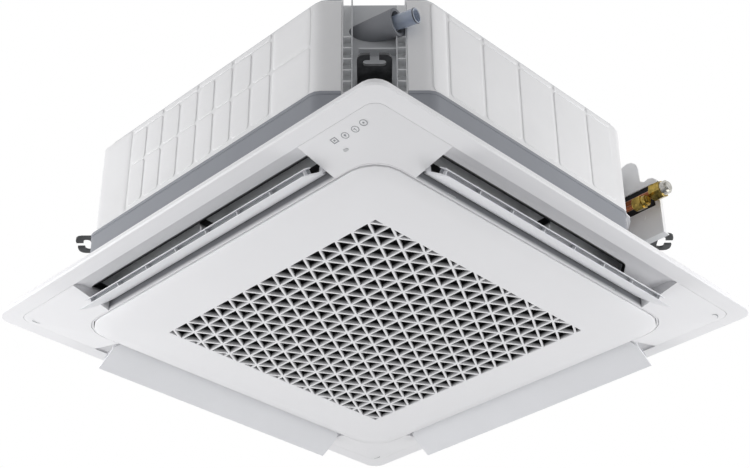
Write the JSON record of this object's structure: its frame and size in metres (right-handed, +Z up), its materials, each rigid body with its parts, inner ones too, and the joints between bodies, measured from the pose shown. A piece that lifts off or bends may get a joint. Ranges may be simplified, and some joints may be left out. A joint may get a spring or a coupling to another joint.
{
  "type": "ceiling cassette air conditioner",
  "caption": "Square ceiling air conditioner unit: flush panel with swinging louvres, drop-down lattice grille and filter, turbo fan, coil, drain pan and pump in a hung body.",
  "frame": {"origin": "middle of the ceiling plane, on the upper face of the panel's rim; the panel hangs below it and the body stands above it", "axes": "+Z up; the cut corner with the drain outlet points along +X -Y, the corner with the pipes along +X +Y"},
  "size_m": [0.95, 0.95, 0.3525],
  "materials": {
    "white_plastic": "fine satin moulding",
    "blade_plastic": "satin moulding",
    "foam_white": "moulded white foam and embossed coated sheet",
    "base_grey": "matt coating",
    "grey_plastic": "satin moulding",
    "black_steel": "satin black coating",
    "black_foam": "matt",
    "grey_foam": "closed-cell foam",
    "zinc_steel": "zinc-plated sheet",
    "coil_aluminium": "pressed fins",
    "copper": "drawn copper tube",
    "brass_fitting": "turned and milled",
    "silver_cap": "nickel-plated",
    "clear_hose": "cloudy soft plastic",
    "green_board": "coated board"
  },
  "bodies": {
    "unit": {"panel_frame": "white_plastic", "bell_mouth": "black_foam", "body_casing": "foam_white", "drain_corner_frame": "grey_plastic", "drain_pan": "foam_white", "coil_end_far": "copper", "liquid_pipe": "copper", "gas_pipe": "copper", "base_band": "base_grey", "side_insulation": "grey_foam", "control_board": "green_board", "drain_sleeve": "grey_foam", "pump_hose": "grey_foam", "fan_motor": "black_steel", "drain_pump": "white_plastic", "motor_bracket": "zinc_steel", "liquid_flare_nut": "brass_fitting", "gas_flare_nut": "brass_fitting", "piping_cover": "grey_plastic", "top_insulation": "grey_foam", "grille_hinge_pin_near": "grey_plastic", "grille_hinge_pin_far": "grey_plastic", "pump_support": "zinc_steel", "float_switch_stem": "grey_plastic", "drain_outlet_pipe": "clear_hose", "liquid_plug": "silver_cap", "gas_plug": "silver_cap", "evaporator_coil": "coil_aluminium", "hanger_bracket_right": "black_steel", "hanger_bracket_near": "black_steel", "hanger_bracket_left": "black_steel", "hanger_bracket_far": "black_steel", "display_corner_cover": "white_plastic", "near_right_louvre_motor": "grey_plastic", "near_left_louvre_motor": "grey_plastic", "far_right_louvre_motor": "grey_plastic", "far_left_louvre_motor": "grey_plastic", "top_sheet": "zinc_steel", "right_corner_cover": "white_plastic", "left_corner_cover": "white_plastic", "far_corner_cover": "white_plastic", "control_box_cover": "zinc_steel", "control_box": "zinc_steel", "piping_seal": "black_foam", "coil_end_right": "zinc_steel"},
    "near_left_blade": {"near_left_louvre": "blade_plastic"},
    "near_right_blade": {"near_right_louvre": "blade_plastic"},
    "far_right_blade": {"far_right_louvre": "blade_plastic"},
    "far_left_blade": {"far_left_louvre": "blade_plastic"},
    "grille": {"front_grille": "white_plastic", "air_filter": "black_foam"},
    "catch_near": {"grille_catch_near": "grey_plastic"},
    "catch_far": {"grille_catch_far": "grey_plastic"},
    "fan": {"turbo_fan": "grey_plastic", "fan_nut": "zinc_steel"},
    "impeller": {"pump_impeller": "grey_plastic"},
    "float": {"float_ring": "white_plastic"},
    "button": {"display_button": "grey_plastic"}
  },
  "joints": [
    {"name": "near_left_louvre_swing", "type": "hinge", "parent": "unit", "child": "near_left_blade", "pos_m": [0, -0.388, -0.018], "axis": [-1, 0, 0], "range_deg": [-10, 48.5]},
    {"name": "near_right_louvre_swing", "type": "hinge", "parent": "unit", "child": "near_right_blade", "pos_m": [0.388, 0, -0.018], "axis": [0, -1, 0], "range_deg": [-10, 48.5]},
    {"name": "far_right_louvre_swing", "type": "hinge", "parent": "unit", "child": "far_right_blade", "pos_m": [0, 0.388, -0.018], "axis": [1, 0, 0], "range_deg": [-10, 48.5]},
    {"name": "far_left_louvre_swing", "type": "hinge", "parent": "unit", "child": "far_left_blade", "pos_m": [-0.388, 0, -0.018], "axis": [0, 1, 0], "range_deg": [-10, 48.5]},
    {"name": "grille_swing", "type": "hinge", "parent": "unit", "child": "grille", "pos_m": [-0.357, 0, -0.0294], "axis": [0, 1, 0], "range_deg": [0, 88]},
    {"name": "catch_near_slide", "type": "slide", "parent": "grille", "child": "catch_near", "axis": [-1, 0, 0], "range_m": [0, 0.004], "stiffness_N_per_m": 300},
    {"name": "catch_far_slide", "type": "slide", "parent": "grille", "child": "catch_far", "axis": [-1, 0, 0], "range_m": [0, 0.004], "stiffness_N_per_m": 300},
    {"name": "fan_spin", "type": "hinge", "parent": "unit", "child": "fan", "pos_m": [0, 0, 0], "axis": [0, 0, 1], "continuous": true},
    {"name": "pump_impeller_spin", "type": "hinge", "parent": "unit", "child": "impeller", "pos_m": [0.32527, -0.29698, 0], "axis": [0, 0, 1], "continuous": true},
    {"name": "float_rise", "type": "slide", "parent": "unit", "child": "float", "axis": [0, 0, 1], "range_m": [0, 0.025]},
    {"name": "display_button_press", "type": "slide", "parent": "unit", "child": "button", "axis": [0, 0, 1], "range_m": [0, 0.001], "stiffness_N_per_m": 250}
  ]
}
